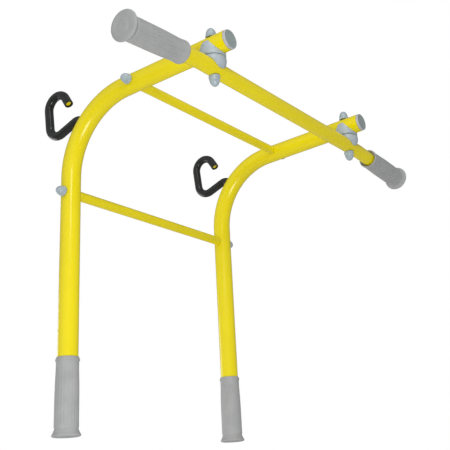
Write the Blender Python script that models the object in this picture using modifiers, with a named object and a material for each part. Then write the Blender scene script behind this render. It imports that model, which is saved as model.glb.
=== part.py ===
"""Hang-on pull-up bar for a wall ladder.

Two bent side tubes hang from a ladder rung by welded, sleeved hooks and rest against the
ladder on rubber leg grips. Two bolted rungs tie the side tubes together, and a crossbar with
drooping, gripped ends is bolted under the arms between moulded saddles.

Metres, +Z up, +X to the object's right, the arms reach towards -Y. The origin is the axis of
the ladder rung that the hooks hang on, midway between the two hooks.
"""
import math

import bmesh
import bpy
from mathutils import Matrix, Vector

# ---- driving dimensions ---------------------------------------------------------------------
FRAME_SPACING = 0.410          # between the axes of the two side tubes
SIDE_X = FRAME_SPACING / 2
TUBE_RADIUS = 0.016
TUBE_WALL = 0.002
TUBE_Y = -0.0365               # leg axis, in front of the ladder rung's axis
BEND_BASE_Z = -0.1385          # top of the straight leg
BEND_RADIUS = 0.125
ARM_RISE = math.radians(2.0)   # the arms climb this much towards the front
ARM_LENGTH = 0.210             # straight arm, bend to tube end
LEG_BARE = 0.2905              # leg between the bend and the grip's mouth

LEG_GRIP_LENGTH = 0.115
BAR_GRIP_LENGTH = 0.121
GRIP_BODY_RADIUS = 0.0183
GRIP_NECK_RADIUS = 0.0173
GRIP_FLOOR = 0.006             # rubber at the closed end
LEG_GRIP_RIM = 0.0220
BAR_GRIP_RIM = 0.0233
GRIP_FLANGE = 0.0125           # height of the flared end
GRIP_LIP = 0.0013              # the mouth's lip, over the neck
FIT_GAP = 0.0002               # between a tube and the piece pushed over or into it
SEAT_GAP = 0.0003              # between pieces that touch

RUNG_RADIUS = 0.008
RUNG_WALL = 0.0015
UPPER_RUNG_ALONG_ARM = 0.0215  # from the end of the bend
LOWER_RUNG_DROP = 0.028        # below the start of the bend
INSERT_LENGTH = 0.022
INSERT_SETBACK = 0.003         # from the side tube's inner side

BAR_RADIUS = 0.0125
BAR_WALL = 0.002
BAR_ALONG_ARM = 0.1790         # crossbar axis, from the end of the bend
BAR_BELOW_ARM = 0.0374         # crossbar axis, under the arm's axis
BAR_KINK_OUTBOARD = 0.0345     # where the bar's end starts to droop, outboard of the arm
BAR_KINK_RADIUS = 0.060
BAR_DROOP = math.radians(4.5)
BAR_END_LENGTH = 0.1638        # from the kink to the grip's end face

SEAM_BELOW_ARM = (BAR_BELOW_ARM + TUBE_RADIUS - BAR_RADIUS) / 2
SADDLE_RADIUS = 0.0205         # widest, a little off the seam between the two saddles
SADDLE_BELLY = 0.005           # from the seam to the widest ring
ARM_SADDLE_TAPER = 0.0340      # how slowly the outside closes towards the wing tips
BAR_SADDLE_TAPER = 0.0195
WING_TIP = 0.0006              # thickness left at the tip of a wing
SADDLE_EDGE = 0.0011           # bevel round the seam
PLUG_FLANGE = 0.0045
PLUG_DEPTH = 0.020
PLUG_WALL = 0.0018

BOLT_RADIUS = 0.003            # M6
HOLE_RADIUS = 0.0034
HEX_RADIUS = 0.00577           # 10 mm across the flats
HEAD_HEIGHT = 0.004
NUT_HEIGHT = 0.005
WASHER_RADIUS = 0.006
WASHER_HEIGHT = 0.0016
NUT_STUB = 0.002               # bolt standing out of its nut
RUNG_BOLT_REACH = 0.050        # shank, from the tube's outer side inwards
RUNG_CAP = (0.0085, 0.0142)    # radius and height
JOINT_CAP = (0.0088, 0.0168)
CAP_BORE = 0.0063
CAP_BASE = 0.0042              # height of the straight part of a cap
CAP_TOP_WALL = 0.0022

HOOK_ROD_RADIUS = 0.005
HOOK_SLEEVE_RADIUS = 0.0078
HOOK_ARCH_RADIUS = 0.0216      # centreline, over the ladder rung
HOOK_ARCH_SWEEP = math.radians(155.0)
HOOK_LIFT = 0.0008             # the arch's centre, over the ladder rung's axis
HOOK_TIP = 0.0170              # straight end after the arch
HOOK_BACK = 0.0332             # straight stretch behind the ladder rung
HOOK_BACK_LEAN = math.radians(7.0)
HOOK_FOOT_RADIUS = 0.022
HOOK_FOOT_SLOPE = math.radians(20.0)
HOOK_FOOT_RUN = 0.0340         # between the lower bend and the toe bend
HOOK_TOE_RADIUS = 0.015        # the toe bend brings the rod squarely onto the side tube
HOOK_TOE_TURN = math.radians(35.0)
HOOK_TOE_RUN = 0.0120          # from the toe bend into the side tube
HOOK_TOE_BARE = 0.0070         # rod left bare for the weld
HOOK_CLEARANCE = 0.0008        # sleeve to side tube

# ---- mesh resolution ------------------------------------------------------------------------
SIDE_TUBE_SIDES = 20
BAR_SIDES = 18
RUNG_SIDES = 14
HOOK_SIDES = 12
HOLE_SIDES = 10
CUTTER_SIDES = 40
CUTTER_REACH = 0.03             # how far a cutter runs past what it cuts
GRIP_STEPS = 20
SADDLE_STEPS = 32
SMALL_STEPS = 12
DOME_STEPS = 5
TURN_STEP = math.radians(10.0)  # longest step round a side tube's bend
HOOK_STEP = math.radians(16.0)

UP = math.pi / 2


# ---- scene helpers --------------------------------------------------------------------------
def clear_scene():
    for old in list(bpy.data.objects):
        bpy.data.objects.remove(old, do_unlink=True)


def new_collection(name):
    collection = bpy.data.collections.new(name)
    bpy.context.scene.collection.children.link(collection)
    return collection


def material(name, color, roughness, metallic=0.0):
    made = bpy.data.materials.new(name)
    made.use_nodes = True
    shader = made.node_tree.nodes["Principled BSDF"]
    shader.inputs["Base Color"].default_value = (*color, 1.0)
    shader.inputs["Roughness"].default_value = roughness
    shader.inputs["Metallic"].default_value = metallic
    made.diffuse_color = (*color, 1.0)
    return made


clear_scene()
PARTS = new_collection("hang_on_pull_up_bar")
TOOLS = new_collection("cutters")
YELLOW_PAINT = material("yellow_paint", (0.83, 0.67, 0.02), 0.32)
GREY_RUBBER = material("grey_rubber", (0.40, 0.40, 0.40), 0.75)
GREY_PLASTIC = material("grey_plastic", (0.42, 0.46, 0.49), 0.45)
PLUG_PLASTIC = material("plug_plastic", (0.24, 0.28, 0.27), 0.50)
BLACK_SLEEVE = material("black_sleeve", (0.025, 0.028, 0.026), 0.35)
ZINC_STEEL = material("zinc_steel", (0.62, 0.63, 0.64), 0.35, 1.0)


def add_mesh_object(name, mesh, collection):
    made = bpy.data.objects.new(name, mesh)
    collection.objects.link(made)
    return made


def mesh_from_bmesh(name, shape):
    mesh = bpy.data.meshes.new(name)
    bmesh.ops.recalc_face_normals(shape, faces=shape.faces)
    shape.to_mesh(mesh)
    shape.free()
    return mesh


def bake(source, name):
    """The mesh of an object with its modifiers applied; the object itself is removed."""
    bpy.context.view_layer.update()
    evaluated = source.evaluated_get(bpy.context.evaluated_depsgraph_get())
    mesh = bpy.data.meshes.new_from_object(evaluated)
    mesh.name = name
    mesh.transform(source.matrix_world)
    mesh.materials.clear()
    bpy.data.objects.remove(source, do_unlink=True)
    welded = bmesh.new()
    welded.from_mesh(mesh)
    bmesh.ops.remove_doubles(welded, verts=welded.verts, dist=1e-6)
    welded.to_mesh(mesh)
    welded.free()
    return mesh


def cylinder(name, radius, start, end, sides=24):
    """A closed cylinder between two points, as a mesh."""
    axis = Vector(end) - Vector(start)
    turn = Vector((0, 0, 1)).rotation_difference(axis).to_matrix().to_4x4()
    shape = bmesh.new()
    bmesh.ops.create_cone(shape, cap_ends=True, segments=sides, radius1=radius, radius2=radius,
                          depth=axis.length,
                          matrix=Matrix.Translation((Vector(start) + Vector(end)) / 2) @ turn)
    return mesh_from_bmesh(name, shape)


def combine(name, mesh, steps):
    """Cut, keep or join meshes in turn: steps are (operation, tool mesh) pairs."""
    work = add_mesh_object(name + "_work", mesh, PARTS)
    tools = []
    for number, (operation, tool_mesh) in enumerate(steps):
        tool = add_mesh_object(f"{name}_tool_{number}", tool_mesh, TOOLS)
        tool.hide_render = True
        tool.display_type = "WIRE"
        cut = work.modifiers.new(operation.lower(), "BOOLEAN")
        cut.operation = operation
        cut.solver = "EXACT"
        cut.object = tool
        tools.append(tool)
    result = bake(work, name)
    for tool in tools:
        bpy.data.objects.remove(tool, do_unlink=True)
    return result


def turned(name, profile, steps, closed=False):
    """A mesh turned about Z from (radius, z) points, outer side from top to bottom."""
    outline = bpy.data.meshes.new(name + "_profile")
    edges = [(i, i + 1) for i in range(len(profile) - 1)]
    if closed:
        edges.append((len(profile) - 1, 0))
    outline.from_pydata([(radius, 0.0, z) for radius, z in profile], edges, [])
    work = add_mesh_object(name + "_work", outline, PARTS)
    screw = work.modifiers.new("turn", "SCREW")
    screw.steps = steps
    screw.render_steps = steps
    screw.use_merge_vertices = True
    screw.merge_threshold = 1e-5
    return bake(work, name)


def trace(start, heading, moves, longest_step=TURN_STEP):
    """Points in a plane: each move is ("run", length) or ("turn", radius, angle), + is left."""
    at = Vector(start)
    points = [at.copy()]
    for kind, size, *angle in moves:
        if kind == "run":
            at = at + size * Vector((math.cos(heading), math.sin(heading)))
            points.append(at.copy())
            continue
        count = max(1, math.ceil(abs(angle[0]) / longest_step))
        step = angle[0] / count
        chord = 2 * size * math.sin(abs(step) / 2)
        for _ in range(count):
            middle = heading + step / 2
            at = at + chord * Vector((math.cos(middle), math.sin(middle)))
            heading += step
            points.append(at.copy())
    return points, heading


def swept(name, points, radius, sides, filled=True):
    """A round bar along 3D points, as a mesh; unfilled, it is an open skin."""
    curve = bpy.data.curves.new(name + "_path", "CURVE")
    curve.dimensions = "3D"
    curve.bevel_depth = radius
    curve.bevel_resolution = sides // 2 - 2
    curve.use_fill_caps = filled
    spline = curve.splines.new("POLY")
    spline.points.add(len(points) - 1)
    for point, place in zip(spline.points, points):
        point.co = (*place, 1.0)
    return bake(add_mesh_object(name + "_work", curve, PARTS), name)


def pipe(name, points, radius, wall, sides):
    """A round tube with open ends along 3D points, as a mesh."""
    skin = add_mesh_object(name + "_skin", swept(name, points, radius, sides, False), PARTS)
    solidify = skin.modifiers.new("wall", "SOLIDIFY")
    solidify.thickness = wall
    solidify.offset = -1.0
    solidify.use_even_offset = True
    return bake(skin, name)


def part(name, mesh, slot, place=(0, 0, 0), turn=(0, 0, 0)):
    """One named piece of the object, shaded smooth with sharp edges kept."""
    own = mesh.copy()
    own.name = name
    own.materials.append(slot)
    own.shade_smooth()
    own.set_sharp_from_angle(angle=math.radians(32))
    made = add_mesh_object(name, own, PARTS)
    made.location = place
    made.rotation_euler = turn
    return made


# ---- places ---------------------------------------------------------------------------------
def side_frame_path(leg_run, arm_run):
    """The side tube's axis as (y, z) points, and its heading along the arm."""
    start = (TUBE_Y, BEND_BASE_Z - leg_run)
    moves = [("run", leg_run), ("turn", BEND_RADIUS, UP - ARM_RISE), ("run", arm_run)]
    return trace(start, UP, moves)


BEND_END = Vector((0, *side_frame_path(LEG_BARE, ARM_LENGTH)[0][-2]))
ARM_DIRECTION = Vector((0, -math.cos(ARM_RISE), math.sin(ARM_RISE)))
ARM_NORMAL = Vector((0, math.sin(ARM_RISE), math.cos(ARM_RISE)))
ARM_TURN = (-ARM_RISE, 0, 0)


def on_arm(x, along, above=0.0):
    """A place beside the arm: x, distance in front of the bend, height over the arm's axis."""
    return Vector((x, 0, 0)) + BEND_END + along * ARM_DIRECTION + above * ARM_NORMAL


# ---- side tubes and their ends --------------------------------------------------------------
def in_side_plane(points):
    return [(0.0, y, z) for y, z in points]


def side_tube_mesh():
    leg_run = LEG_BARE + LEG_GRIP_LENGTH - GRIP_FLOOR - SEAT_GAP
    path, _ = side_frame_path(leg_run, ARM_LENGTH)
    tube = pipe("side_tube", in_side_plane(path), TUBE_RADIUS, TUBE_WALL, SIDE_TUBE_SIDES)
    reach = 2 * TUBE_RADIUS
    upper = on_arm(0, UPPER_RUNG_ALONG_ARM)
    lower = Vector((0, TUBE_Y, BEND_BASE_Z - LOWER_RUNG_DROP))
    across = Vector((reach, 0, 0))
    joint = on_arm(0, BAR_ALONG_ARM)
    holes = [
        cylinder("upper_hole", HOLE_RADIUS, upper - across, upper + across, HOLE_SIDES),
        cylinder("lower_hole", HOLE_RADIUS, lower - across, lower + across, HOLE_SIDES),
        cylinder("joint_hole", HOLE_RADIUS, joint - reach * ARM_NORMAL,
                 joint + reach * ARM_NORMAL, HOLE_SIDES),
    ]
    return combine("side_tube", tube, [("DIFFERENCE", hole) for hole in holes])


def grip_mesh(name, bore_radius, length, rim_radius):
    """A closed-end rubber grip: outer end face at z = 0, mouth at the top."""
    neck = GRIP_NECK_RADIUS
    body = GRIP_BODY_RADIUS
    groove = body - 0.0005
    bore = bore_radius + FIT_GAP
    profile = [
        (0.0, GRIP_FLOOR), (bore, GRIP_FLOOR), (bore, length), (bore + 0.0006, length),
        (neck + GRIP_LIP, length - 0.0045), (neck + 0.8 * GRIP_LIP, length - 0.0058),
        (neck, length - 0.0075), (neck, length - 0.016), (body, length - 0.045),
        (body, GRIP_FLANGE + 0.002), (groove, GRIP_FLANGE), (groove, GRIP_FLANGE - 0.002),
        (rim_radius - 0.0008, 0.0050), (rim_radius, 0.0034), (rim_radius - 0.0006, 0.0018),
        (rim_radius - 0.0030, 0.0), (0.0, 0.0),
    ]
    return turned(name, profile, GRIP_STEPS)


def plug_mesh():
    """A plug for the arm's open end: flange over z = 0, hollow barrel below it."""
    barrel = TUBE_RADIUS - TUBE_WALL - FIT_GAP
    rim = TUBE_RADIUS - FIT_GAP
    profile = [
        (0.0, PLUG_FLANGE), (rim - 0.0012, PLUG_FLANGE), (rim, PLUG_FLANGE - 0.0012), (rim, 0.0),
        (barrel, 0.0), (barrel, -PLUG_DEPTH), (barrel - PLUG_WALL, -PLUG_DEPTH),
        (barrel - PLUG_WALL, PLUG_FLANGE - PLUG_WALL), (0.0, PLUG_FLANGE - PLUG_WALL),
    ]
    return turned("plug", profile, GRIP_STEPS)


# ---- fasteners ------------------------------------------------------------------------------
def bolt_mesh(name, shank_end):
    """A hex bolt whose head stands on the washer at z > 0 and whose shank goes down."""
    seat = WASHER_HEIGHT + 2 * SEAT_GAP
    shank = cylinder(name, BOLT_RADIUS, (0, 0, seat + HEAD_HEIGHT / 2), (0, 0, -shank_end),
                     HOLE_SIDES)
    head = cylinder("head", HEX_RADIUS, (0, 0, seat), (0, 0, seat + HEAD_HEIGHT), 6)
    return combine(name, shank, [("UNION", head)])


def ring_mesh(name, outer, inner, bottom, top):
    profile = [(outer, top), (outer, bottom), (inner, bottom), (inner, top)]
    return turned(name, profile, SMALL_STEPS, closed=True)


def washer_mesh():
    return ring_mesh("washer", WASHER_RADIUS, HOLE_RADIUS, SEAT_GAP, SEAT_GAP + WASHER_HEIGHT)


def nut_mesh():
    seat = WASHER_HEIGHT + 2 * SEAT_GAP
    body = cylinder("nut", HEX_RADIUS, (0, 0, seat), (0, 0, seat + NUT_HEIGHT), 6)
    hole = cylinder("nut_hole", HOLE_RADIUS, (0, 0, 0), (0, 0, seat + 2 * NUT_HEIGHT), HOLE_SIDES)
    return combine("nut", body, [("DIFFERENCE", hole)])


def cap_mesh(name, radius, height):
    """A hollow snap-on cap: a short straight base, then a dome."""
    dome_radius = radius - 0.0005
    dome_height = height - CAP_BASE
    dome = []
    for step in range(DOME_STEPS):
        rise = step / DOME_STEPS * UP
        dome.append((dome_radius * math.cos(rise), CAP_BASE + dome_height * math.sin(rise)))
    hollow_top = height - CAP_TOP_WALL
    profile = [(0.0, SEAT_GAP + height)]
    profile += [(across, SEAT_GAP + up) for across, up in reversed(dome)]
    profile += [(radius, SEAT_GAP + CAP_BASE - 0.0004), (radius, SEAT_GAP), (CAP_BORE, SEAT_GAP),
                (CAP_BORE, 0.6 * hollow_top), (BOLT_RADIUS + 0.0006, hollow_top), (0.0, hollow_top)]
    return turned(name, profile, SMALL_STEPS)


# ---- rungs ----------------------------------------------------------------------------------
def rung_mesh(name, place, side_axis):
    """A rung along X through place, its ends coped to the side tubes."""
    half = SIDE_X - TUBE_RADIUS / 2
    ends = [place + Vector((-half, 0, 0)), place + Vector((half, 0, 0))]
    rung = pipe(name, ends, RUNG_RADIUS, RUNG_WALL, RUNG_SIDES)
    copes = []
    for side in (-1, 1):
        centre = place + Vector((side * SIDE_X, 0, 0))
        copes.append(cylinder(name + "_cope", TUBE_RADIUS + SEAT_GAP,
                              centre - CUTTER_REACH * side_axis,
                              centre + CUTTER_REACH * side_axis, CUTTER_SIDES))
    return combine(name, rung, [("DIFFERENCE", cope) for cope in copes])


def insert_mesh():
    """The threaded insert in a rung's end, its outer face at z = 0."""
    outer = RUNG_RADIUS - RUNG_WALL - FIT_GAP
    return ring_mesh("insert", outer, HOLE_RADIUS, -INSERT_LENGTH, 0.0)


# ---- crossbar and its joints ----------------------------------------------------------------
def crossbar_path(end_length):
    """The crossbar's axis as points in its own frame: X along it, Z up."""
    tangent = BAR_KINK_RADIUS * math.tan(BAR_DROOP / 2)
    moves = [("run", SIDE_X + BAR_KINK_OUTBOARD - tangent),
             ("turn", BAR_KINK_RADIUS, -BAR_DROOP / 2), ("turn", BAR_KINK_RADIUS, -BAR_DROOP / 2),
             ("run", end_length - tangent)]
    right, _ = trace((0, 0), 0.0, moves)
    left = [(-x, z) for x, z in reversed(right[1:])]
    return [(x, 0.0, z) for x, z in left + [tuple(point) for point in right[1:]]]


def crossbar_mesh():
    path = crossbar_path(BAR_END_LENGTH - GRIP_FLOOR - SEAT_GAP)
    bar = pipe("crossbar", path, BAR_RADIUS, BAR_WALL, BAR_SIDES)
    holes = [cylinder("bar_hole", HOLE_RADIUS, (side * SIDE_X, 0, -CUTTER_REACH),
                      (side * SIDE_X, 0, CUTTER_REACH), HOLE_SIDES) for side in (-1, 1)]
    return combine("crossbar", bar, [("DIFFERENCE", hole) for hole in holes])


def saddle_mesh(name, tube_radius, seam_to_axis, taper):
    """Half a joint spacer over its seam at z = 0: wings hug a tube that runs along Y."""
    half = SEAT_GAP / 2
    tip_radius = tube_radius + FIT_GAP + WING_TIP
    reach = SADDLE_BELLY + taper * math.sqrt(1 - (tip_radius / SADDLE_RADIUS) ** 2)

    def outside(z):
        return SADDLE_RADIUS * math.sqrt(1 - ((z - SADDLE_BELLY) / taper) ** 2)

    rings = [reach + (SADDLE_EDGE - reach) * step / 6 for step in range(7)]
    profile = [(0.0, reach)] + [(outside(z), z) for z in rings]
    profile += [(outside(half) - SADDLE_EDGE, half), (0.0, half)]
    body = turned(name, profile, SADDLE_STEPS)
    tube = cylinder("tube", tube_radius + FIT_GAP, (0, -CUTTER_REACH, seam_to_axis),
                    (0, CUTTER_REACH, seam_to_axis), CUTTER_SIDES)
    hole = cylinder("hole", HOLE_RADIUS, (0, 0, -CUTTER_REACH), (0, 0, CUTTER_REACH), HOLE_SIDES)
    return combine(name, body, [("DIFFERENCE", tube), ("DIFFERENCE", hole)])


# ---- hooks ----------------------------------------------------------------------------------
def hook_path(toe_run):
    """The hook's axis as (x, y, z) points from the side tube, over the rung, to the tip."""
    back_heading = UP - HOOK_BACK_LEAN
    inward = Vector((-math.sin(back_heading), math.cos(back_heading)))
    back_top = -HOOK_ARCH_RADIUS * inward + Vector((0, HOOK_LIFT))
    foot_turn = UP - HOOK_BACK_LEAN + HOOK_FOOT_SLOPE
    down, _ = trace(back_top, back_heading + math.pi,
                    [("run", HOOK_BACK), ("turn", HOOK_FOOT_RADIUS, -foot_turn),
                     ("run", HOOK_FOOT_RUN), ("turn", HOOK_TOE_RADIUS, HOOK_TOE_TURN),
                     ("run", toe_run)], HOOK_STEP)
    over, _ = trace(back_top, back_heading,
                    [("turn", HOOK_ARCH_RADIUS, HOOK_ARCH_SWEEP), ("run", HOOK_TIP)], HOOK_STEP)
    return [(0.0, y, z) for y, z in list(reversed(down)) + over[1:]]


def bend_cutter(radius):
    path, _ = side_frame_path(CUTTER_REACH, CUTTER_REACH)
    return swept("bend_cutter", in_side_plane(path), radius, CUTTER_SIDES)


def hook_rod_mesh():
    rod = swept("hook_rod", hook_path(HOOK_TOE_RUN), HOOK_ROD_RADIUS, HOOK_SIDES)
    return combine("hook_rod", rod, [("DIFFERENCE", bend_cutter(TUBE_RADIUS + SEAT_GAP))])


def hook_sleeve_mesh():
    wall = HOOK_SLEEVE_RADIUS - HOOK_ROD_RADIUS - FIT_GAP
    path = hook_path(HOOK_TOE_RUN - HOOK_TOE_BARE)
    sleeve = pipe("hook_sleeve", path, HOOK_SLEEVE_RADIUS, wall, HOOK_SIDES)
    cutter = bend_cutter(TUBE_RADIUS + HOOK_CLEARANCE)
    return combine("hook_sleeve", sleeve, [("DIFFERENCE", cutter)])


# ---- assembly -------------------------------------------------------------------------------
def add_fastener(name, kind, meshes, place, turn):
    part(name + "_bolt", meshes[kind + "_bolt"], ZINC_STEEL, place, turn)
    part(name + "_washer", meshes["washer"], ZINC_STEEL, place, turn)
    part(name + "_cap", meshes[kind + "_cap"], GREY_PLASTIC, place, turn)


def add_side(side, label, meshes):
    """Everything that belongs to one side tube."""
    out = (0, side * UP, 0)
    place = (side * SIDE_X, 0, 0)
    part(f"{label}_side_tube", meshes["side_tube"], YELLOW_PAINT, place)
    part(f"{label}_hook_rod", meshes["hook_rod"], YELLOW_PAINT, place)
    part(f"{label}_hook_sleeve", meshes["hook_sleeve"], BLACK_SLEEVE, place)
    leg_end = (side * SIDE_X, TUBE_Y, BEND_BASE_Z - LEG_BARE - LEG_GRIP_LENGTH)
    part(f"{label}_leg_grip", meshes["leg_grip"], GREY_RUBBER, leg_end)
    arm_end = on_arm(side * SIDE_X, ARM_LENGTH + FIT_GAP)
    part(f"{label}_arm_plug", meshes["plug"], PLUG_PLASTIC, arm_end, (UP - ARM_RISE, 0, 0))
    upper = on_arm(side * (SIDE_X + TUBE_RADIUS), UPPER_RUNG_ALONG_ARM)
    lower = Vector((side * (SIDE_X + TUBE_RADIUS), TUBE_Y, BEND_BASE_Z - LOWER_RUNG_DROP))
    inward = Vector((-side * (2 * TUBE_RADIUS + INSERT_SETBACK), 0, 0))
    for level, outer in (("upper", upper), ("lower", lower)):
        add_fastener(f"{label}_{level}_rung", "rung", meshes, outer, out)
        part(f"{label}_{level}_rung_insert", meshes["insert"], ZINC_STEEL, outer + inward, out)


def add_joint(side, label, meshes):
    """The saddles and the through-bolt between one arm and the crossbar."""
    x = side * SIDE_X
    seam = on_arm(x, BAR_ALONG_ARM, -SEAM_BELOW_ARM)
    flipped = (Matrix.Rotation(-ARM_RISE, 4, "X") @ Matrix.Rotation(math.pi, 4, "X")
               @ Matrix.Rotation(UP, 4, "Z")).to_euler()
    part(f"{label}_arm_saddle", meshes["arm_saddle"], GREY_PLASTIC, seam, ARM_TURN)
    part(f"{label}_bar_saddle", meshes["bar_saddle"], GREY_PLASTIC, seam, flipped)
    top = on_arm(x, BAR_ALONG_ARM, TUBE_RADIUS)
    bottom = on_arm(x, BAR_ALONG_ARM, -BAR_BELOW_ARM - BAR_RADIUS)
    under = (math.pi - ARM_RISE, 0, 0)
    add_fastener(f"{label}_joint", "joint", meshes, top, ARM_TURN)
    part(f"{label}_joint_nut", meshes["nut"], ZINC_STEEL, bottom, under)
    part(f"{label}_joint_nut_washer", meshes["washer"], ZINC_STEEL, bottom, under)
    part(f"{label}_joint_nut_cap", meshes["joint_cap"], GREY_PLASTIC, bottom, under)


def add_crossbar(meshes):
    centre = on_arm(0, BAR_ALONG_ARM, -BAR_BELOW_ARM)
    part("crossbar", meshes["crossbar"], YELLOW_PAINT, centre, ARM_TURN)
    end = Vector(crossbar_path(BAR_END_LENGTH)[-1])
    for side, label in ((-1, "left"), (1, "right")):
        frame = Matrix.Rotation(-ARM_RISE, 4, "X")
        place = centre + frame @ Vector((side * end.x, 0, end.z))
        turn = (frame @ Matrix.Rotation(-side * (UP - BAR_DROOP), 4, "Y")).to_euler()
        part(f"{label}_bar_grip", meshes["bar_grip"], GREY_RUBBER, place, turn)


def add_rungs():
    upper = on_arm(0, UPPER_RUNG_ALONG_ARM)
    lower = Vector((0, TUBE_Y, BEND_BASE_Z - LOWER_RUNG_DROP))
    part("upper_rung", rung_mesh("upper_rung", upper, ARM_DIRECTION), YELLOW_PAINT)
    part("lower_rung", rung_mesh("lower_rung", lower, Vector((0, 0, 1))), YELLOW_PAINT)


def build():
    stack = BAR_BELOW_ARM + TUBE_RADIUS + BAR_RADIUS
    meshes = {
        "side_tube": side_tube_mesh(),
        "leg_grip": grip_mesh("leg_grip", TUBE_RADIUS, LEG_GRIP_LENGTH, LEG_GRIP_RIM),
        "bar_grip": grip_mesh("bar_grip", BAR_RADIUS, BAR_GRIP_LENGTH, BAR_GRIP_RIM),
        "plug": plug_mesh(),
        "rung_bolt": bolt_mesh("rung_bolt", RUNG_BOLT_REACH),
        "joint_bolt": bolt_mesh("joint_bolt", stack + WASHER_HEIGHT + NUT_HEIGHT + NUT_STUB),
        "washer": washer_mesh(),
        "nut": nut_mesh(),
        "rung_cap": cap_mesh("rung_cap", *RUNG_CAP),
        "joint_cap": cap_mesh("joint_cap", *JOINT_CAP),
        "insert": insert_mesh(),
        "crossbar": crossbar_mesh(),
        "hook_rod": hook_rod_mesh(),
        "hook_sleeve": hook_sleeve_mesh(),
        "arm_saddle": saddle_mesh("arm_saddle", TUBE_RADIUS, SEAM_BELOW_ARM, ARM_SADDLE_TAPER),
        "bar_saddle": saddle_mesh("bar_saddle", BAR_RADIUS, BAR_BELOW_ARM - SEAM_BELOW_ARM,
                                  BAR_SADDLE_TAPER),
    }
    for side, label in ((-1, "left"), (1, "right")):
        add_side(side, label, meshes)
        add_joint(side, label, meshes)
    add_crossbar(meshes)
    add_rungs()
    for mesh in meshes.values():
        bpy.data.meshes.remove(mesh)


build()
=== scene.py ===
"""Looks for the hang-on pull-up bar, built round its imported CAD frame.

Smooth powder-coated tubes, fluted rubber grips, stepped bolt caps, moulded saddles and
sleeved hooks stand for their CAD nodes; the hidden steel fasteners keep their CAD meshes.
Metres, +Z up, in the frame of the CAD: the origin is the axis of the ladder rung that the
hooks hang on, and the arms reach towards -Y.
"""
import math

import bmesh
import bpy
from mathutils import Matrix, Vector


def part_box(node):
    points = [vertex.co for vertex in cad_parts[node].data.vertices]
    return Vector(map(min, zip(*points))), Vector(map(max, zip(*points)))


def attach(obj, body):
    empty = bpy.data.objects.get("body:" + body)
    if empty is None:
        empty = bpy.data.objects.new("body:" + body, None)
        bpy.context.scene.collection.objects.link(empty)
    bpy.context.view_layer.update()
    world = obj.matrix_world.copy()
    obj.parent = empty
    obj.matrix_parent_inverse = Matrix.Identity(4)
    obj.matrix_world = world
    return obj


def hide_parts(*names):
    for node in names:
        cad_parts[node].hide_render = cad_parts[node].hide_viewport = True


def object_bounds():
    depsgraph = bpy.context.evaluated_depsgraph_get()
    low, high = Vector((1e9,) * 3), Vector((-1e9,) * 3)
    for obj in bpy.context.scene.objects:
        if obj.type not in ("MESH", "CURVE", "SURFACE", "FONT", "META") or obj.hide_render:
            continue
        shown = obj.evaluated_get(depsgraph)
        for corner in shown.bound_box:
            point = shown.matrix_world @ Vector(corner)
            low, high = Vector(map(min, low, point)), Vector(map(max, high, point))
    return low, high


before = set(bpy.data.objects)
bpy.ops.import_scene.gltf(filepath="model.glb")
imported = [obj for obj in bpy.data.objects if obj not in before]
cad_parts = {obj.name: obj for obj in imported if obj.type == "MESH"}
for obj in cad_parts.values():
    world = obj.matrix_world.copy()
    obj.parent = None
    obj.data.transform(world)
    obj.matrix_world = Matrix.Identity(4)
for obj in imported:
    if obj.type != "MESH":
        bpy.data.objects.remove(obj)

CAD_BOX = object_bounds()
BODY = "root"
UP = math.pi / 2
SIDES = ((-1, "left"), (1, "right"))

# ---- dimensions shared with the CAD ------------------------------------------------------------
TUBE_RADIUS = 0.016
TUBE_WALL = 0.002
BEND_RADIUS = 0.125
ARM_RISE = math.radians(2.0)
ARM_LENGTH = 0.210
FIT_GAP = 0.0002
SEAT_GAP = 0.0003
GRIP_FLOOR = 0.006
LEG_GRIP_RIM = 0.0220
BAR_GRIP_RIM = 0.0233
RUNG_RADIUS = 0.008
RUNG_BORE_SHARE = 0.8
UPPER_RUNG_ALONG_ARM = 0.0215
LOWER_RUNG_DROP = 0.028
BAR_RADIUS = 0.0125
BAR_WALL = 0.002
BAR_ALONG_ARM = 0.1790
BAR_BELOW_ARM = 0.0374
BAR_KINK_OUTBOARD = 0.0345
BAR_KINK_RADIUS = 0.060
BAR_DROOP = math.radians(4.5)
BAR_END_LENGTH = 0.1638
SEAM_BELOW_ARM = (BAR_BELOW_ARM + TUBE_RADIUS - BAR_RADIUS) / 2
SADDLE_RADIUS = 0.0205
SADDLE_BELLY = 0.005
ARM_SADDLE_TAPER = 0.0340
BAR_SADDLE_TAPER = 0.0195
SADDLE_CLEARANCE = 0.0008
SADDLE_CUT_REACH = 0.03
SEAM_CHAMFER = 0.0018
SEAM_DEPTH = 0.0024
PLUG_FLANGE = 0.0045
PLUG_DEPTH = 0.0195
# Radius beyond which the plug's flange faces take the lighter grey, a painted highlight along the
# rim.
PLUG_RIM_START = 0.0150
RUNG_CAP = (0.0085, 0.0142)
JOINT_CAP = (0.0088, 0.0168)
CAP_BASE = 0.0042
CAP_STEP = 0.0007
CAP_BORE = 0.0063
CAP_ROOF = 0.0030
DOME_SQUARENESS = 0.92
# How far down the dome each ring lies, as a share, and how deep it sinks as a groove.
DOME_RINGS = ((0.14, 0.0), (0.26, 0.0), (0.36, 0.0), (0.44, 0.0),
              (0.475, 0.00045), (0.51, 0.00045), (0.545, 0.0), (0.60, 0.0), (0.66, 0.0),
              (0.71, 0.0), (0.735, 0.0004), (0.76, 0.0004), (0.785, 0.0), (0.84, 0.0),
              (0.90, 0.0), (0.95, 0.0))
HOOK_ROD_RADIUS = 0.005
HOOK_SLEEVE_RADIUS = 0.0075
HOOK_ARCH_RADIUS = 0.0216
HOOK_ARCH_SWEEP = math.radians(155.0)
HOOK_LIFT = 0.0008
HOOK_TIP = 0.0170
HOOK_ROD_INSET = 0.0022
HOOK_BACK = 0.0332
HOOK_BACK_LEAN = math.radians(7.0)
HOOK_FOOT_RADIUS = 0.022
HOOK_FOOT_SLOPE = math.radians(20.0)
HOOK_FOOT_RUN = 0.0340
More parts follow.
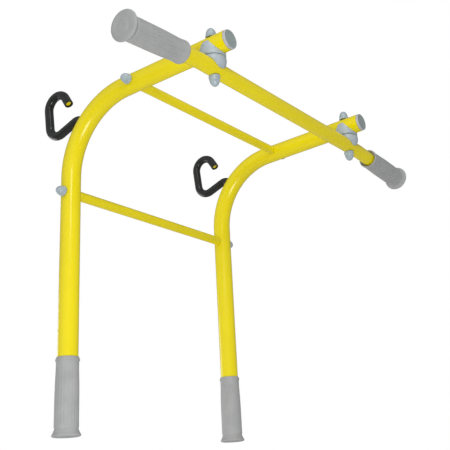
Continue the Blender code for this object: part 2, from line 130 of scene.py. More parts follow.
HOOK_TOE_RADIUS = 0.015
HOOK_TOE_TURN = math.radians(35.0)
HOOK_TOE_RUN = 0.0120
HOOK_TOE_BARE = 0.0070
HOOK_ROD_CHAMFER = 0.0006
HOOK_SLEEVE_GAP = 0.0008
HOOK_CUT_RUN = 0.03

# Places read from the CAD's own boxes.
LEG_LOW, LEG_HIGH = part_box("right_leg_grip")
SIDE_X = (LEG_LOW.x + LEG_HIGH.x) / 2
TUBE_Y = (LEG_LOW.y + LEG_HIGH.y) / 2
LEG_END_Z = LEG_LOW.z
LEG_GRIP_LENGTH = LEG_HIGH.z - LEG_LOW.z
LOWER_CAP_LOW, LOWER_CAP_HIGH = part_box("right_lower_rung_cap")
BEND_BASE_Z = (LOWER_CAP_LOW.z + LOWER_CAP_HIGH.z) / 2 + LOWER_RUNG_DROP

# ---- resolution --------------------------------------------------------------------------------
TUBE_SIDES = 56
FINE_TURN = math.radians(2.5)
RUN_STEP = 0.012
GRIP_FLUTES = 24
STEPS_PER_FLUTE = 8
CAP_SIDES = 56
PLUG_SIDES = 72
SADDLE_SIDES = 96
SADDLE_STEPS = 24
SADDLE_VOXEL = 0.0005
SADDLE_SOFTENING = 2
HOOK_STEP = math.radians(4)
HOOK_ROD_SIDES = 32
HOOK_SLEEVE_SIDES = 40
HOOK_SLEEVE_STEP = 0.003
HOOK_CUT_SIDES = 64
BAR_KINK_STEP = math.radians(0.75)
FILLET_STEPS = 4
FILLET_SHARE = 0.49  # the most of an edge that one fillet takes
ON_AXIS = 1e-7
SHARP_ANGLE = math.radians(40)


# ---- materials ---------------------------------------------------------------------------------
def srgb(red, green, blue):
    """Linear values of an 8-bit display colour."""
    def linear(value):
        share = value / 255
        return share / 12.92 if share <= 0.04045 else ((share + 0.055) / 1.055) ** 2.4
    return linear(red), linear(green), linear(blue)


NOISE_ROUGHNESS = 0.55
NOISE_LOW, NOISE_HIGH = 0.3, 0.7  # the part of a noise's range that is spread over a material


def surface(name, dark, light, rough, blotch, grain, bump, metallic=0.0, specular=0.5):
    """A procedural material.

    Colour wanders between dark and light in blotches, roughness between the two values of
    rough with the grain, and bump is (height of the grain, height of the blotches) in metres.
    blotch and grain are feature sizes in metres.
    """
    made = bpy.data.materials.new(name)
    made.use_nodes = True
    nodes = made.node_tree.nodes
    links = made.node_tree.links
    shader = nodes["Principled BSDF"]
    shader.inputs["Metallic"].default_value = metallic
    shader.inputs["Specular IOR Level"].default_value = specular
    place = nodes.new("ShaderNodeTexCoord")

    def noise_node(size, detail):
        made_noise = nodes.new("ShaderNodeTexNoise")
        made_noise.inputs["Scale"].default_value = 1.0 / size
        made_noise.inputs["Detail"].default_value = detail
        made_noise.inputs["Roughness"].default_value = NOISE_ROUGHNESS
        links.new(place.outputs["Object"], made_noise.inputs["Vector"])
        return made_noise.outputs["Fac"]

    wide = noise_node(blotch, 3.0)
    fine = noise_node(grain, 2.0)
    spread = nodes.new("ShaderNodeMapRange")
    spread.inputs["From Min"].default_value = NOISE_LOW
    spread.inputs["From Max"].default_value = NOISE_HIGH
    links.new(wide, spread.inputs["Value"])
    mix = nodes.new("ShaderNodeMix")
    mix.data_type = "RGBA"
    mix.inputs["A"].default_value = (*dark, 1.0)
    mix.inputs["B"].default_value = (*light, 1.0)
    links.new(spread.outputs["Result"], mix.inputs["Factor"])
    links.new(mix.outputs["Result"], shader.inputs["Base Color"])
    gloss = nodes.new("ShaderNodeMapRange")
    gloss.inputs["From Min"].default_value = NOISE_LOW
    gloss.inputs["From Max"].default_value = NOISE_HIGH
    gloss.inputs["To Min"].default_value = rough[0]
    gloss.inputs["To Max"].default_value = rough[1]
    links.new(fine, gloss.inputs["Value"])
    links.new(gloss.outputs["Result"], shader.inputs["Roughness"])
    relief = None
    for height, distance in ((fine, bump[0]), (wide, bump[1])):
        if not distance:
            continue
        step = nodes.new("ShaderNodeBump")
        step.inputs["Strength"].default_value = 1.0
        step.inputs["Distance"].default_value = distance
        links.new(height, step.inputs["Height"])
        if relief:
            links.new(relief, step.inputs["Normal"])
        relief = step.outputs["Normal"]
    if relief:
        links.new(relief, shader.inputs["Normal"])
    return made


PAINT = surface("powder_coat_yellow", srgb(235, 216, 3), srgb(238, 220, 5), (0.19, 0.24),
                blotch=0.045, grain=0.0022, bump=(0.0000012, 0.0), specular=0.42)
RUBBER = surface("moulded_rubber", srgb(161, 162, 163), srgb(171, 172, 172), (0.55, 0.72),
                 blotch=0.018, grain=0.0006, bump=(0.00002, 0.00004), specular=0.25)
CAP_PLASTIC = surface("cap_moulding", srgb(154, 169, 178), srgb(174, 187, 194), (0.24, 0.34),
                      blotch=0.006, grain=0.0004, bump=(0.00001, 0.00003))
SADDLE_PLASTIC = surface("saddle_moulding", srgb(164, 176, 184), srgb(180, 190, 196),
                         (0.26, 0.36), blotch=0.010, grain=0.0005, bump=(0.000015, 0.00004))
PLUG_PLASTIC = surface("plug_moulding", srgb(138, 151, 149), srgb(149, 160, 158), (0.45, 0.60),
                       blotch=0.006, grain=0.0005, bump=(0.00003, 0.00003), specular=0.3)
# A lighter, glossier grey for the plug's rim than for its face: the lighter colour is a painted
# highlight where the rim catches light.
PLUG_RIM_PAINTED_HIGHLIGHT = surface("plug_rim_painted_highlight", srgb(176, 176, 184), srgb(190, 189, 196), (0.30, 0.42),
                   blotch=0.006, grain=0.0005, bump=(0.00002, 0.00003))
SLEEVE = surface("sleeve_black", srgb(24, 27, 25), srgb(34, 37, 35), (0.17, 0.25),
                 blotch=0.012, grain=0.0008, bump=(0.000006, 0.00003), specular=0.38)
STEEL = surface("zinc_plate", (0.50, 0.51, 0.52), (0.66, 0.67, 0.67), (0.28, 0.42),
                blotch=0.003, grain=0.0004, bump=(0.00001, 0.0), metallic=1.0)


# ---- mesh helpers ------------------------------------------------------------------------------
def add_piece(name, mesh, material, nodes):
    """A visible piece that stands for CAD nodes and rides on the body."""
    mesh.name = name
    mesh.materials.clear()
    mesh.materials.append(material)
    mesh.shade_smooth()
    mesh.set_sharp_from_angle(angle=SHARP_ANGLE)
    made = bpy.data.objects.new(name, mesh)
    bpy.context.scene.collection.objects.link(made)
    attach(made, BODY)
    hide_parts(*nodes)
    return made


def mesh_of(shape, name="mesh"):
    mesh = bpy.data.meshes.new(name)
    bmesh.ops.recalc_face_normals(shape, faces=shape.faces)
    shape.to_mesh(mesh)
    shape.free()
    return mesh


def skin(rings, closed_tube=False):
    """Quads between rings of points; a ring of one point closes the surface there."""
    shape = bmesh.new()
    rows = [[shape.verts.new(point) for point in ring] for ring in rings]
    pairs = list(zip(rows, rows[1:]))
    if closed_tube:
        pairs.append((rows[-1], rows[0]))
    for first, second in pairs:
        count = max(len(first), len(second))
        for i in range(count):
            j = (i + 1) % count
            if len(first) == 1:
                shape.faces.new((first[0], second[i], second[j]))
            elif len(second) == 1:
                shape.faces.new((first[i], second[0], first[j]))
            else:
                shape.faces.new((first[i], second[i], second[j], first[j]))
    return mesh_of(shape)


def filleted(corners):
    """A profile with its corners rounded: corners are (radius, z) or (radius, z, fillet)."""
    points = [Vector(corner[:2]) for corner in corners]
    out = [points[0]]
    for i in range(1, len(points) - 1):
        here = points[i]
        size = corners[i][2] if len(corners[i]) > 2 else 0.0
        before, after = points[i - 1] - here, points[i + 1] - here
        reach = min(size, FILLET_SHARE * before.length, FILLET_SHARE * after.length)
        if reach <= 0:
            out.append(here)
            continue
        start = here + reach * before.normalized()
        end = here + reach * after.normalized()
        for k in range(FILLET_STEPS + 1):
            t = k / FILLET_STEPS
            out.append((1 - t) ** 2 * start + 2 * t * (1 - t) * here + t * t * end)
    out.append(points[-1])
    return out


def resampled(profile, longest):
    """The same profile with no straight stretch longer than longest."""
    out = [profile[0]]
    for start, end in zip(profile, profile[1:]):
        count = max(1, math.ceil((end - start).length / longest))
        out += [start.lerp(end, k / count) for k in range(1, count + 1)]
    return out


def turned(profile, sides, relief=None):
    """A surface turned about Z; relief(angle, radius, z) is added to each point's radius."""
    rings = []
    for radius, z in profile:
        if radius < ON_AXIS:
            rings.append([Vector((0, 0, z))])
            continue
        ring = []
        for k in range(sides):
            angle = 2 * math.pi * k / sides
            across = radius + (relief(angle, radius, z) if relief else 0.0)
            ring.append(Vector((across * math.cos(angle), across * math.sin(angle), z)))
        rings.append(ring)
    return skin(rings)


def trace(start, heading, moves, longest_step=FINE_TURN):
    """Points in a plane: each move is ("run", length) or ("turn", radius, angle), + is left."""
    at = Vector(start)
    points = [at.copy()]
    for kind, size, *angle in moves:
        if kind == "run":
            count = max(1, math.ceil(size / RUN_STEP))
            for _ in range(count):
                at = at + size / count * Vector((math.cos(heading), math.sin(heading)))
                points.append(at.copy())
            continue
        count = max(1, math.ceil(abs(angle[0]) / longest_step))
        step = angle[0] / count
        chord = 2 * size * math.sin(abs(step) / 2)
        for _ in range(count):
            middle = heading + step / 2
            at = at + chord * Vector((math.cos(middle), math.sin(middle)))
            heading += step
            points.append(at.copy())
    return points


def ring_at(centre, along, across, radius, sides):
    upward = across.cross(along).normalized()
    return [centre + radius * (math.cos(a) * upward + math.sin(a) * across)
            for a in (2 * math.pi * k / sides for k in range(sides))]


def headings(points):
    steps = [(b - a).normalized() for a, b in zip(points, points[1:])]
    middle = [(a + b).normalized() for a, b in zip(steps, steps[1:])]
    return [steps[0]] + middle + [steps[-1]]


def swept(points, across, radius, sides, bore=0.0, chamfer=0.0):
    """A bar or tube along points in one plane; across is that plane's normal.

    radius is a number or a function of the share of the way along.
    """
    size = radius if callable(radius) else (lambda share: radius)
    along = headings(points)
    lengths = [0.0]
    for a, b in zip(points, points[1:]):
        lengths.append(lengths[-1] + (b - a).length)
    shares = [length / lengths[-1] for length in lengths]
    outer = [ring_at(p, t, across, size(s), sides) for p, t, s in zip(points, along, shares)]
    if chamfer:
        first = points[0] + chamfer * along[0]
        last = points[-1] - chamfer * along[-1]
        outer[0] = ring_at(points[0], along[0], across, size(0) - chamfer, sides)
        outer.insert(1, ring_at(first, along[0], across, size(0), sides))
        outer[-1] = ring_at(points[-1], along[-1], across, size(1) - chamfer, sides)
        outer.insert(-1, ring_at(last, along[-1], across, size(1), sides))
    if bore:
        inner = [ring_at(p, t, across, bore, sides) for p, t in zip(points, along)]
        return skin(outer + inner[::-1], closed_tube=True)
    return skin([[points[0]]] + outer + [[points[-1]]])


def baked(source):
    """The mesh of an object with its modifiers applied; the object itself is removed."""
    bpy.context.view_layer.update()
    evaluated = source.evaluated_get(bpy.context.evaluated_depsgraph_get())
    mesh = bpy.data.meshes.new_from_object(evaluated)
    mesh.transform(source.matrix_world)
    bpy.data.objects.remove(source, do_unlink=True)
    return mesh


def carved(mesh, tools, voxel=0.0, rounds=0):
    """A mesh with tools cut out of it; with a voxel size its edges soften as in a moulding."""
    work = bpy.data.objects.new("work", mesh)
    bpy.context.scene.collection.objects.link(work)
    cutters = []
    for number, tool in enumerate(tools):
        cutter = bpy.data.objects.new(f"cutter_{number}", tool)
        bpy.context.scene.collection.objects.link(cutter)
        cut = work.modifiers.new("cut", "BOOLEAN")
        cut.operation = "DIFFERENCE"
        cut.solver = "EXACT"
        cut.object = cutter
        cutters.append(cutter)
    if voxel:
        remesh = work.modifiers.new("remesh", "REMESH")
        remesh.mode = "VOXEL"
        remesh.voxel_size = voxel
        soften = work.modifiers.new("soften", "SMOOTH")
        soften.factor = 0.5
        soften.iterations = rounds
    result = baked(work)
    for cutter in cutters:
        bpy.data.objects.remove(cutter, do_unlink=True)
    return result


def moved(mesh, matrix):
    own = mesh.copy()
    own.transform(matrix)
    return own


def turn(angle, axis):
    return Matrix.Rotation(angle, 4, axis)


# ---- places ------------------------------------------------------------------------------------
def side_path(leg_run, arm_run):
    start = (TUBE_Y, BEND_BASE_Z - leg_run)
    return trace(start, UP, [("run", leg_run), ("turn", BEND_RADIUS, UP - ARM_RISE),
                             ("run", arm_run)])


BEND_END = Vector((0, *side_path(RUN_STEP, RUN_STEP)[-2]))
ARM_DIRECTION = Vector((0, -math.cos(ARM_RISE), math.sin(ARM_RISE)))
ARM_NORMAL = Vector((0, math.sin(ARM_RISE), math.cos(ARM_RISE)))
ACROSS = Vector((1, 0, 0))


def on_arm(x, along, above=0.0):
    return Vector((x, 0, 0)) + BEND_END + along * ARM_DIRECTION + above * ARM_NORMAL


def in_side_plane(points, x):
    return [Vector((x, y, z)) for y, z in points]


# ---- tubes -------------------------------------------------------------------------------------
def add_side_tubes():
    leg_run = BEND_BASE_Z - LEG_END_Z - GRIP_FLOOR - SEAT_GAP
    for side, label in SIDES:
        points = in_side_plane(side_path(leg_run, ARM_LENGTH), side * SIDE_X)
        mesh = swept(points, ACROSS, TUBE_RADIUS, TUBE_SIDES, bore=TUBE_RADIUS - TUBE_WALL)
        add_piece(f"{label}_side_tube_coated", mesh, PAINT,
                  [f"{label}_side_tube"])


def crossbar_points(end_length):
    tangent = BAR_KINK_RADIUS * math.tan(BAR_DROOP / 2)
    right = trace((0, 0), 0.0, [("run", SIDE_X + BAR_KINK_OUTBOARD - tangent),
                                ("turn", BAR_KINK_RADIUS, -BAR_DROOP),
                                ("run", end_length - tangent)], BAR_KINK_STEP)
    left = [(-x, z) for x, z in reversed(right[1:])]
    return [Vector((x, 0.0, z)) for x, z in left + [tuple(point) for point in right[1:]]]


def bar_frame():
    centre = on_arm(0, BAR_ALONG_ARM, -BAR_BELOW_ARM)
    return Matrix.Translation(centre) @ turn(-ARM_RISE, "X")


def add_crossbar():
    points = crossbar_points(BAR_END_LENGTH - GRIP_FLOOR - SEAT_GAP)
    mesh = swept(points, Vector((0, 1, 0)), BAR_RADIUS, TUBE_SIDES, bore=BAR_RADIUS - BAR_WALL)
    add_piece("crossbar_coated", moved(mesh, bar_frame()), PAINT, ["crossbar"])


def coped_rung(place, side_axis):
    """A hollow rung whose ends follow the round side tubes."""
    upward = side_axis
    forward = ACROSS.cross(upward)
    rings = []
    for end in (-1, 1):
        ring = []
        for k in range(TUBE_SIDES):
            angle = 2 * math.pi * k / TUBE_SIDES
            away = RUNG_RADIUS * math.cos(angle)
            gap = math.sqrt((TUBE_RADIUS + SEAT_GAP) ** 2 - away ** 2)
            ring.append(place + away * forward + RUNG_RADIUS * math.sin(angle) * upward
                        + Vector((end * (SIDE_X - gap), 0, 0)))
        rings.append(ring)
    inner = []
    for end, ring in ((-1, rings[0]), (1, rings[1])):
        axis_points = [Vector((point.x, place.y, place.z)) for point in ring]
        inner.append([axis + RUNG_BORE_SHARE * (point - axis)
                      for axis, point in zip(axis_points, ring)])
    return skin([inner[0], rings[0], rings[1], inner[1]], closed_tube=True)


def add_rungs():
    places = {"upper_rung": (on_arm(0, UPPER_RUNG_ALONG_ARM), ARM_DIRECTION),
              "lower_rung": (Vector((0, TUBE_Y, BEND_BASE_Z - LOWER_RUNG_DROP)),
                             Vector((0, 0, 1)))}
    for name, (place, side_axis) in places.items():
        mesh = coped_rung(place, side_axis)
        add_piece(f"{name}_coated", mesh, PAINT, [name])


# ---- grips -------------------------------------------------------------------------------------
# Profiles are (radius, z) or (radius, z, fillet). A mouth's z is counted from the grip's mouth.
GRIP_END_FACE = ((0.0, 0.0005), (0.0011, 0.0005), (0.0016, 0.0, 0.0004), (0.0085, 0.0, 0.0004),
                 (0.0088, 0.00025, 0.0002), (0.0135, 0.00025, 0.0002), (0.0138, 0.0, 0.0004))
GRIP_NECK = ((0.0197, 0.0062, 0.0018), (0.0187, 0.0092, 0.0014), (0.0177, 0.0106, 0.0008),
             (0.0177, 0.0120, 0.0008), (0.0184, 0.0138, 0.0016))
LEG_GRIP_MOUTH = ((0.0173, 0.0070, 0.0010), (0.0184, 0.0054, 0.0005), (0.0186, 0.0044, 0.0005),
                  (TUBE_RADIUS + 0.0012, 0.0002, 0.0004), (TUBE_RADIUS + 0.0008, 0.0, 0.0002),
                  (TUBE_RADIUS + 0.0006, 0.0030, 0.0003))
BAR_GRIP_MOUTH = ((0.0174, 0.0075, 0.0020), (0.0181, 0.0040, 0.0020), (0.0178, 0.0, 0.0014),
                  (0.0156, 0.0, 0.0006), (0.0152, 0.0046, 0.0006))
LEG_FLUTE_DEPTH = 0.00048
BAR_FLUTE_DEPTH = 0.00070
FLUTE_START = 0.0150
FLUTE_END_MARGIN = 0.0105
FLUTE_FADE_IN = 0.004
FLUTE_FADE_OUT = 0.006
FLUTE_LEAST_RADIUS = 0.0165


def grip_mesh(bore_radius, length, rim, mouth, flute_depth):
    """A fluted rubber grip: end face at z = 0, mouth at z = length.

    mouth lists the profile from the neck round the lip to the bore, z counted from the mouth.
    """
    bore = bore_radius + FIT_GAP
    flared_rim = ((rim - 0.0040, 0.0, 0.002), (rim - 0.0009, 0.0009, 0.0012),
                  (rim, 0.0025, 0.0008), (rim - 0.0008, 0.0040, 0.0010))
    barrel = ((0.0183, length - 0.045, 0.012), (0.0173, length - 0.016, 0.006))
    lip = tuple((radius, length - depth, fillet) for radius, depth, fillet in mouth)
    inside = ((bore, length - 0.0050, 0.0004), (bore, GRIP_FLOOR), (0.0, GRIP_FLOOR))
    profile = filleted(GRIP_END_FACE + flared_rim + GRIP_NECK + barrel + lip + inside)
    low, high = FLUTE_START, length - FLUTE_END_MARGIN

    def flutes(angle, radius, z):
        if radius < FLUTE_LEAST_RADIUS or not low < z < high:
            return 0.0
        fade = min(1.0, (z - low) / FLUTE_FADE_IN, (high - z) / FLUTE_FADE_OUT)
        fade = fade * fade * (3 - 2 * fade)
        wave = 0.5 - 0.5 * math.cos(GRIP_FLUTES * angle)
        return -flute_depth * fade * (1 - wave ** 0.5)

    return turned(resampled(profile, 0.002), GRIP_FLUTES * STEPS_PER_FLUTE, flutes)


def add_grips():
    leg = grip_mesh(TUBE_RADIUS, LEG_GRIP_LENGTH, LEG_GRIP_RIM, LEG_GRIP_MOUTH, LEG_FLUTE_DEPTH)
    bar_low, bar_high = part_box("right_bar_grip")
    reach = bar_high.x - bar_low.x - BAR_GRIP_RIM * math.sin(BAR_DROOP)
    bar_length = round(reach / math.cos(BAR_DROOP), 3)
    bar = grip_mesh(BAR_RADIUS, bar_length, BAR_GRIP_RIM, BAR_GRIP_MOUTH, BAR_FLUTE_DEPTH)
    end = crossbar_points(BAR_END_LENGTH)[-1]
    for side, label in SIDES:
        spot = Matrix.Translation((side * SIDE_X, TUBE_Y, LEG_END_Z))
        add_piece(f"{label}_leg_grip_fluted", moved(leg, spot), RUBBER,
                  [f"{label}_leg_grip"])
        spot = (bar_frame() @ Matrix.Translation((side * end.x, 0, end.z))
                @ turn(-side * (UP - BAR_DROOP), "Y"))
        add_piece(f"{label}_bar_grip_fluted", moved(bar, spot), RUBBER,
                  [f"{label}_bar_grip"])


# ---- plugs and caps ----------------------------------------------------------------------------
def add_plugs():
    rim = TUBE_RADIUS - FIT_GAP
    barrel = TUBE_RADIUS - TUBE_WALL - FIT_GAP
    profile = filleted([
        (0.0, PLUG_FLANGE - 0.0004), (0.0128, PLUG_FLANGE - 0.0004, 0.0003),
        (0.0134, PLUG_FLANGE, 0.0005), (rim - 0.0008, PLUG_FLANGE, 0.0012),
        (rim, PLUG_FLANGE - 0.0014, 0.0010), (rim, 0.0001, 0.0002), (barrel, 0.0001),
        (barrel, -PLUG_DEPTH, 0.0008), (0.0, -PLUG_DEPTH)])
    mesh = turned(profile, PLUG_SIDES)
    for side, label in SIDES:
        spot = Matrix.Translation(on_arm(side * SIDE_X, ARM_LENGTH + FIT_GAP))
        plug = add_piece(f"{label}_arm_plug_moulded",
                         moved(mesh, spot @ turn(UP - ARM_RISE, "X")), PLUG_PLASTIC,
                         [f"{label}_arm_plug"])
        # The rim's outer top faces take the lighter grey: a painted highlight along the plug's
        # rim.
        plug.data.materials.append(PLUG_RIM_PAINTED_HIGHLIGHT)
        for face, piece_face in zip(mesh.polygons, plug.data.polygons):
            if math.hypot(face.center.x, face.center.y) > PLUG_RIM_START and face.center.z > 0:
                piece_face.material_index = 1


def cap_mesh(radius, height):
    """A snap-on bolt cap: a straight base, a step, and a dome with two turned grooves."""
    dome = radius - CAP_STEP
    rise = height - CAP_BASE
    profile = [(0.0, height)]
    profile += [(dome * math.sin(share * UP) ** DOME_SQUARENESS - groove,
                 CAP_BASE + rise * math.cos(share * UP)) for share, groove in DOME_RINGS]
    profile += [(dome, CAP_BASE + 0.0002, 0.0003), (radius, CAP_BASE - 0.0005, 0.0005),
                (radius, 0.0, 0.0004), (CAP_BORE, 0.0), (CAP_BORE, 0.55 * height),
                (0.0036, height - CAP_ROOF), (0.0, height - CAP_ROOF)]
    return moved(turned(filleted(profile), CAP_SIDES), Matrix.Translation((0, 0, SEAT_GAP)))


def add_caps():
    rung_cap = cap_mesh(*RUNG_CAP)
    joint_cap = cap_mesh(*JOINT_CAP)
    for side, label in SIDES:
        outward = turn(side * UP, "Y")
        x = side * (SIDE_X + TUBE_RADIUS)
        spots = {
            "upper_rung_cap": (rung_cap, Matrix.Translation(on_arm(x, UPPER_RUNG_ALONG_ARM))
                               @ outward),
            "lower_rung_cap": (rung_cap, Matrix.Translation(
                (x, TUBE_Y, BEND_BASE_Z - LOWER_RUNG_DROP)) @ outward),
            "joint_cap": (joint_cap, Matrix.Translation(
                on_arm(side * SIDE_X, BAR_ALONG_ARM, TUBE_RADIUS)) @ turn(-ARM_RISE, "X")),
            "joint_nut_cap": (joint_cap, Matrix.Translation(
                on_arm(side * SIDE_X, BAR_ALONG_ARM, -BAR_BELOW_ARM - BAR_RADIUS))
                @ turn(math.pi - ARM_RISE, "X")),
        }
        for name, (mesh, spot) in spots.items():
            add_piece(f"{label}_{name}_moulded", moved(mesh, spot), CAP_PLASTIC,
                      [f"{label}_{name}"])


# ---- saddles -----------------------------------------------------------------------------------
def saddle_mesh(tube_radius, seam_to_axis, taper):
    """Half a joint spacer over its seam at z = 0; its wings hug a tube that runs along Y."""
    widest = (tube_radius + SADDLE_CLEARANCE) / SADDLE_RADIUS
    reach = SADDLE_BELLY + taper * math.sqrt(1 - widest ** 2)
    half = SEAT_GAP / 2

    def outside(z):
        return SADDLE_RADIUS * math.sqrt(1 - ((z - SADDLE_BELLY) / taper) ** 2)

    rings = [reach + (SEAM_CHAMFER - reach) * step / SADDLE_STEPS
             for step in range(SADDLE_STEPS + 1)]
    profile = [Vector((0.0, reach))] + [Vector((outside(z), z)) for z in rings]
    profile += [Vector((outside(half) - SEAM_DEPTH, half)), Vector((0.0, half))]
    body = turned(profile, SADDLE_SIDES)
    ends = [Vector((0, y, seam_to_axis)) for y in (-SADDLE_CUT_REACH, SADDLE_CUT_REACH)]
    tube = swept(ends, ACROSS, tube_radius + FIT_GAP, SADDLE_SIDES)
    return carved(body, [tube], SADDLE_VOXEL, SADDLE_SOFTENING)


def add_saddles():
    arm = saddle_mesh(TUBE_RADIUS, SEAM_BELOW_ARM, ARM_SADDLE_TAPER)
    bar = saddle_mesh(BAR_RADIUS, BAR_BELOW_ARM - SEAM_BELOW_ARM, BAR_SADDLE_TAPER)
    for side, label in SIDES:
        seam = Matrix.Translation(on_arm(side * SIDE_X, BAR_ALONG_ARM, -SEAM_BELOW_ARM))
        upright = seam @ turn(-ARM_RISE, "X")
        add_piece(f"{label}_arm_saddle_moulded", moved(arm, upright), SADDLE_PLASTIC,
                  [f"{label}_arm_saddle"])
        add_piece(f"{label}_bar_saddle_moulded",
                  moved(bar, upright @ turn(math.pi, "X") @ turn(UP, "Z")), SADDLE_PLASTIC,
                  [f"{label}_bar_saddle"])


# ---- hooks -------------------------------------------------------------------------------------
def hook_points(toe_run, tip_run, x):
    back_heading = UP - HOOK_BACK_LEAN
    inward = Vector((-math.sin(back_heading), math.cos(back_heading)))
    back_top = -HOOK_ARCH_RADIUS * inward + Vector((0, HOOK_LIFT))
    foot_turn = UP - HOOK_BACK_LEAN + HOOK_FOOT_SLOPE
    down = trace(back_top, back_heading + math.pi,
                 [("run", HOOK_BACK), ("turn", HOOK_FOOT_RADIUS, -foot_turn),
                  ("run", HOOK_FOOT_RUN), ("turn", HOOK_TOE_RADIUS, HOOK_TOE_TURN),
                  ("run", toe_run)], HOOK_STEP)
    over = trace(back_top, back_heading,
                 [("turn", HOOK_ARCH_RADIUS, HOOK_ARCH_SWEEP), ("run", tip_run)], HOOK_STEP)
    return in_side_plane(list(reversed(down)) + over[1:], x)


def add_hooks():
    for side, label in SIDES:
        x = side * SIDE_X
        bend = in_side_plane(side_path(HOOK_CUT_RUN, HOOK_CUT_RUN), x)
        rod_points = hook_points(HOOK_TOE_RUN, HOOK_TIP - HOOK_ROD_INSET, x)
        rod = swept(rod_points, ACROSS, HOOK_ROD_RADIUS, HOOK_ROD_SIDES,
                    chamfer=HOOK_ROD_CHAMFER)
        rod = carved(rod, [swept(bend, ACROSS, TUBE_RADIUS + SEAT_GAP, HOOK_CUT_SIDES)])
        add_piece(f"{label}_hook_rod_coated", rod, PAINT, [f"{label}_hook_rod"])
        sleeve_points = resampled(hook_points(HOOK_TOE_RUN - HOOK_TOE_BARE, HOOK_TIP, x),
                                  HOOK_SLEEVE_STEP)
        sleeve = swept(sleeve_points, ACROSS, HOOK_SLEEVE_RADIUS, HOOK_SLEEVE_SIDES,
                       bore=HOOK_ROD_RADIUS + FIT_GAP)
        sleeve = carved(sleeve, [swept(bend, ACROSS, TUBE_RADIUS + HOOK_SLEEVE_GAP,
                                       HOOK_CUT_SIDES)])
        add_piece(f"{label}_hook_sleeve_fitted", sleeve, SLEEVE,
                  [f"{label}_hook_sleeve"])


def dress_steel():
    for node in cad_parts.values():
        if not node.hide_render:
            node.data.materials.clear()
            node.data.materials.append(STEEL)


# ---- studio ------------------------------------------------------------------------------------
FLOOR_SIZE = 12.0
FLOOR_DROP = 0.9
LIGHT_DISTANCE = 1.5
BENDS = Vector((0.0, -0.08, -0.06))
LEGS = Vector((0.0, -0.04, -0.20))
MIDDLE = Vector((0.0, -0.15, -0.15))
# Name, what it is aimed at, azimuth, elevation, width, height, watts.
LIGHTS = (("box_below", BENDS, -45, -39, 0.56, 0.55, 7.8),
          ("box_front", LEGS, -46, 19, 0.44, 0.16, 1.8),
          ("box_above", MIDDLE, -40, 55, 0.8, 0.8, 5.3),
          ("box_behind", MIDDLE, 180, -15, 1.2, 1.2, 7.7))
SKY_LEVEL = 0.50
# Direction, how tightly the lobe closes, and what it adds to the sky's level.
SKY_LOBES = (((-0.866, 0.0, -0.5), 4.0, 0.586), ((0.763, 0.523, 0.380), 4.0, -0.34))
CAMERA_PLACE = (-1.1201, -1.0082, -0.6449)
CAMERA_YAW, CAMERA_PITCH, CAMERA_ROLL = 0.970, 0.390, -0.063
CAMERA_LENS = 68.18
CAMERA_SHIFT = (-0.040, -0.1667)
CAMERA_CLIP = 0.05


def add_floor():
    shape = bmesh.new()
    bmesh.ops.create_grid(shape, x_segments=8, y_segments=8, size=FLOOR_SIZE)
    mesh = mesh_of(shape, "floor")
    pale = surface("studio_floor", srgb(236, 236, 234), srgb(242, 242, 240), (0.7, 0.9),
                   blotch=0.6, grain=0.01, bump=(0.0, 0.0))
    mesh.materials.append(pale)
    floor = bpy.data.objects.new("floor", mesh)
    bpy.context.scene.collection.objects.link(floor)
    floor.location = (0, 0, CAD_BOX[0].z - FLOOR_DROP)


def add_light(name, target, azimuth, elevation, width, height, power):
    """A soft box seen from target at an azimuth (0 is -Y, + is +X) and elevation in degrees."""
    a, e = math.radians(azimuth), math.radians(elevation)
    away = Vector((math.sin(a) * math.cos(e), -math.cos(a) * math.cos(e), math.sin(e)))
    data = bpy.data.lights.new(name, "AREA")
    data.shape = "ELLIPSE"
    data.size = width
    data.size_y = height
    data.energy = power
    lamp = bpy.data.objects.new(name, data)
    bpy.context.scene.collection.objects.link(lamp)
    lamp.location = target + LIGHT_DISTANCE * away
    lamp.rotation_mode = "QUATERNION"
    lamp.rotation_quaternion = (-away).to_track_quat("-Z", "Y")
    lamp.visible_camera = False


def add_lights():
    """Four soft boxes; the two smaller ones draw the streaks along the bends and the legs."""
    for light in LIGHTS:
        add_light(*light)


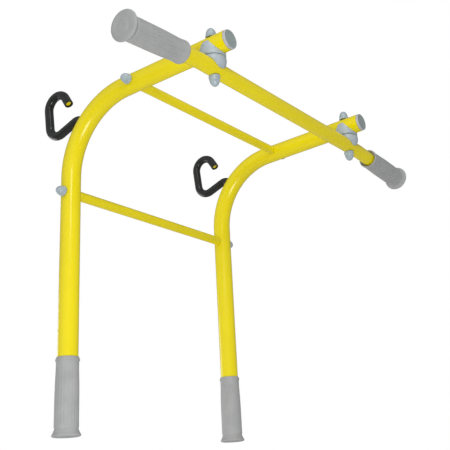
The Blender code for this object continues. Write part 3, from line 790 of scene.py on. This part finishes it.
def add_sky():
    """A pale room, bright low on the left and dim the way the camera looks.

    Its level is what lights and reflects in the object. Camera rays see plain white instead.
    """
    world = bpy.data.worlds.new("studio")
    bpy.context.scene.world = world
    world.use_nodes = True
    nodes = world.node_tree.nodes
    links = world.node_tree.links
    backdrop = nodes["Background"]
    backdrop.inputs["Color"].default_value = (1, 1, 1, 1)
    room = nodes.new("ShaderNodeBackground")
    room.inputs["Color"].default_value = (1, 1, 1, 1)
    place = nodes.new("ShaderNodeTexCoord")
    level = None
    for direction, exponent, gain in SKY_LOBES:
        toward = nodes.new("ShaderNodeVectorMath")
        toward.operation = "DOT_PRODUCT"
        toward.inputs[1].default_value = direction
        links.new(place.outputs["Generated"], toward.inputs[0])
        share = nodes.new("ShaderNodeMapRange")
        share.inputs["From Min"].default_value = -1.0
        share.inputs["From Max"].default_value = 1.0
        links.new(toward.outputs["Value"], share.inputs["Value"])
        lobe = nodes.new("ShaderNodeMath")
        lobe.operation = "POWER"
        lobe.inputs[1].default_value = exponent
        links.new(share.outputs["Result"], lobe.inputs[0])
        added = nodes.new("ShaderNodeMath")
        added.operation = "MULTIPLY_ADD"
        added.inputs[1].default_value = gain
        added.inputs[2].default_value = SKY_LEVEL
        links.new(lobe.outputs["Value"], added.inputs[0])
        if level:
            links.new(level.outputs["Value"], added.inputs[2])
        level = added
    links.new(level.outputs["Value"], room.inputs["Strength"])
    ray = nodes.new("ShaderNodeLightPath")
    pick = nodes.new("ShaderNodeMixShader")
    links.new(ray.outputs["Is Camera Ray"], pick.inputs["Fac"])
    links.new(room.outputs["Background"], pick.inputs[1])
    links.new(backdrop.outputs["Background"], pick.inputs[2])
    links.new(pick.outputs["Shader"], nodes["World Output"].inputs["Surface"])


def add_camera():
    yaw, pitch, roll = CAMERA_YAW, CAMERA_PITCH, CAMERA_ROLL
    ahead = Vector((math.sin(yaw) * math.cos(pitch), math.cos(yaw) * math.cos(pitch),
                    math.sin(pitch)))
    right = Vector((math.cos(yaw), -math.sin(yaw), 0))
    above = right.cross(ahead)
    rolled_right = right * math.cos(roll) + above * math.sin(roll)
    rolled_above = above * math.cos(roll) - right * math.sin(roll)
    data = bpy.data.cameras.new("camera")
    data.lens = CAMERA_LENS
    data.sensor_width = 36.0
    data.shift_x, data.shift_y = CAMERA_SHIFT
    data.clip_start = CAMERA_CLIP
    camera = bpy.data.objects.new("camera", data)
    bpy.context.scene.collection.objects.link(camera)
    columns = Matrix((rolled_right, rolled_above, -ahead)).transposed()
    camera.matrix_world = Matrix.Translation(CAMERA_PLACE) @ columns.to_4x4()
    bpy.context.scene.camera = camera


def main():
    add_camera()
    add_side_tubes()
    add_crossbar()
    add_rungs()
    add_grips()
    add_plugs()
    add_caps()
    add_saddles()
    add_hooks()
    dress_steel()
    add_floor()
    add_sky()
    add_lights()
    bpy.context.scene.view_settings.view_transform = "Standard"
    bpy.context.scene.view_settings.look = "None"


main()
